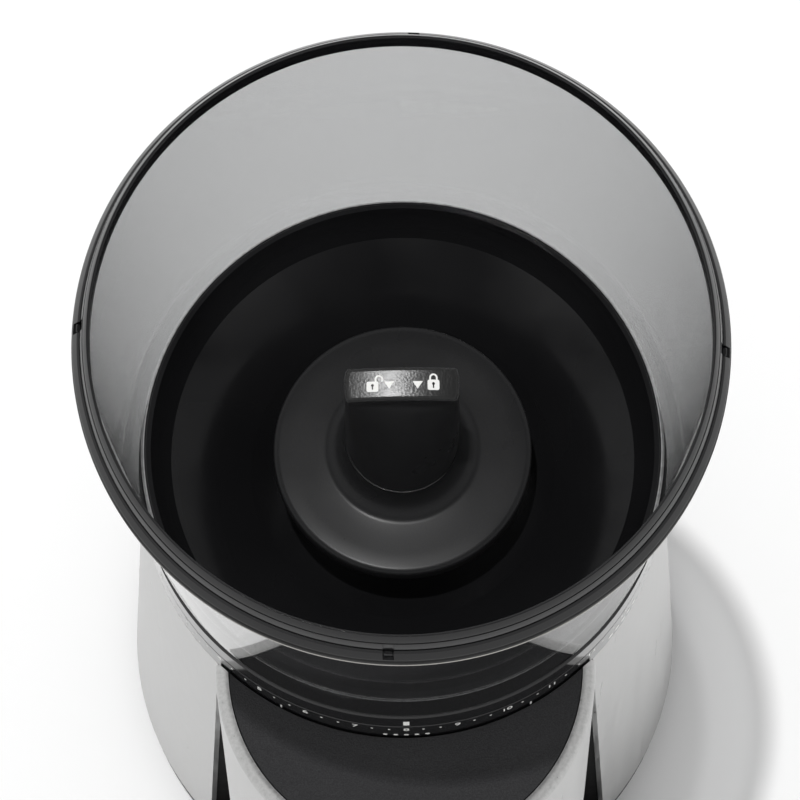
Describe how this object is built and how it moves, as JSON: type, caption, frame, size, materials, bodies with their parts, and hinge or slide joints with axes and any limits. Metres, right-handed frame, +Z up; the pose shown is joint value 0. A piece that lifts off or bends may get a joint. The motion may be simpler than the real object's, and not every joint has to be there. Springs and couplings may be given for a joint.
{
  "type": "burr coffee grinder",
  "caption": "Countertop conical burr coffee grinder with a tinted bean hopper that turns to set the grind, a front timer dial and a slide-out grounds cup.",
  "frame": {"origin": "on the table plane, under the middle of the footprint; the burr axis stands 10 mm behind it", "axes": "+Z up, -Y the front with the dial and cup, +X to the right seen from the front"},
  "size_m": [0.1632, 0.2352, 0.404],
  "materials": {
    "gloss_black": "polished moulded plastic",
    "satin_black": "satin moulded plastic",
    "textured_black": "fine textured moulded plastic",
    "smoke_clear": "grey tinted clear plastic",
    "steel_brushed": "vertical brushed",
    "steel_polished": "polished",
    "burr_steel": "hardened and ground",
    "machine_steel": "turned",
    "motor_steel": "zinc plated",
    "grey_plastic": "glass filled moulding",
    "gear_plastic": "acetal",
    "brass": "turned",
    "magnet": "sintered",
    "copper_laminate": "laminations and windings",
    "rubber": "moulded",
    "silicone": "moulded silicone",
    "board_green": "solder masked board"
  },
  "bodies": {
    "frame": {"base_screws": "machine_steel", "base_tray": "textured_black", "base_trim_ring": "steel_polished", "button_spring": "machine_steel", "chassis_shelf": "grey_plastic", "control_board": "board_green", "cord_gland": "rubber", "cup_platform": "satin_black", "dial_pod": "satin_black", "gearbox_case": "grey_plastic", "gearbox_lid": "grey_plastic", "gearbox_screws": "machine_steel", "grinding_chamber": "grey_plastic", "grounds_chute": "satin_black", "head_cover": "textured_black", "head_floor": "satin_black", "head_shell": "steel_brushed", "motor_bushes": "brass", "motor_can": "motor_steel", "motor_damper": "rubber", "motor_magnets": "magnet", "power_board": "board_green", "recess_liner": "satin_black", "reduction_axle": "machine_steel", "rubber_feet": "rubber", "scale_collar": "gloss_black", "shaft_bearings": "machine_steel", "start_switch": "satin_black", "steel_wrap": "steel_brushed", "support_posts": "machine_steel"},
    "hopper": {"hopper_rim": "gloss_black", "rim_clips": "gloss_black", "hopper_wall": "smoke_clear", "hopper_base_ring": "gloss_black", "hopper_bowl": "gloss_black", "bowl_seal": "silicone"},
    "hopper_lock": {"lock_knob": "satin_black", "knob_spindle": "grey_plastic", "spindle_clip": "machine_steel", "gate_disc": "satin_black"},
    "adjuster": {"adjust_ring": "grey_plastic"},
    "upper_burr": {"burr_carrier": "grey_plastic", "carrier_gasket": "silicone", "ring_burr": "burr_steel"},
    "lower_burr": {"burr_shaft": "machine_steel", "cone_burr": "burr_steel", "burr_nut": "machine_steel", "sweeper_impeller": "gear_plastic", "output_gear": "gear_plastic"},
    "layshaft": {"reduction_gear": "gear_plastic"},
    "rotor": {"motor_rotor": "copper_laminate", "motor_pinion": "brass"},
    "timer": {"timer_dial": "steel_brushed"},
    "button": {"start_button": "satin_black"},
    "cup": {"grounds_cup": "steel_brushed"},
    "lid": {"cup_lid": "satin_black"}
  },
  "joints": [
    {"name": "grind_adjust", "type": "hinge", "parent": "frame", "child": "adjuster", "pos_m": [0, 0.01, 0.27], "axis": [0, 0, 1], "range_deg": [-78.4, 78.4]},
    {"name": "hopper_lift", "type": "slide", "parent": "adjuster", "child": "hopper", "axis": [0, 0, 1], "range_m": [0, 0.06]},
    {"name": "lock_turn", "type": "hinge", "parent": "hopper", "child": "hopper_lock", "pos_m": [0, 0.01, 0.3], "axis": [0, 0, 1], "range_deg": [0, 60]},
    {"name": "burr_gap", "type": "slide", "parent": "frame", "child": "upper_burr", "axis": [0, 0, 1], "range_m": [-0.00075, 0.00075]},
    {"name": "burr_spin", "type": "hinge", "parent": "frame", "child": "lower_burr", "pos_m": [0, 0.01, 0.2], "axis": [0, 0, 1], "continuous": true},
    {"name": "layshaft_spin", "type": "hinge", "parent": "frame", "child": "layshaft", "pos_m": [0.02457, 0.0335, 0.19], "axis": [0, 0, 1], "continuous": true},
    {"name": "rotor_spin", "type": "hinge", "parent": "frame", "child": "rotor", "pos_m": [0, 0.057, 0.19], "axis": [0, 0, 1], "continuous": true},
    {"name": "timer_turn", "type": "hinge", "parent": "frame", "child": "timer", "pos_m": [0, -0.093, 0.212], "axis": [0, -1, 0], "range_deg": [-270, 0]},
    {"name": "start_press", "type": "slide", "parent": "frame", "child": "button", "axis": [0, 1, 0], "range_m": [0, 0.0025], "stiffness_N_per_m": 400, "deforming": ["button_spring"]},
    {"name": "cup_slide", "type": "slide", "parent": "frame", "child": "cup", "axis": [0, -1, 0], "range_m": [0, 0.13]},
    {"name": "lid_lift", "type": "slide", "parent": "cup", "child": "lid", "axis": [0, 0, 1], "range_m": [0, 0.012]}
  ],
  "couplings": [
    {"joint": "burr_gap", "follows": "grind_adjust", "m_per_rad": 0.000477},
    {"joint": "layshaft_spin", "follows": "burr_spin", "ratio": -3},
    {"joint": "rotor_spin", "follows": "burr_spin", "ratio": 12}
  ]
}
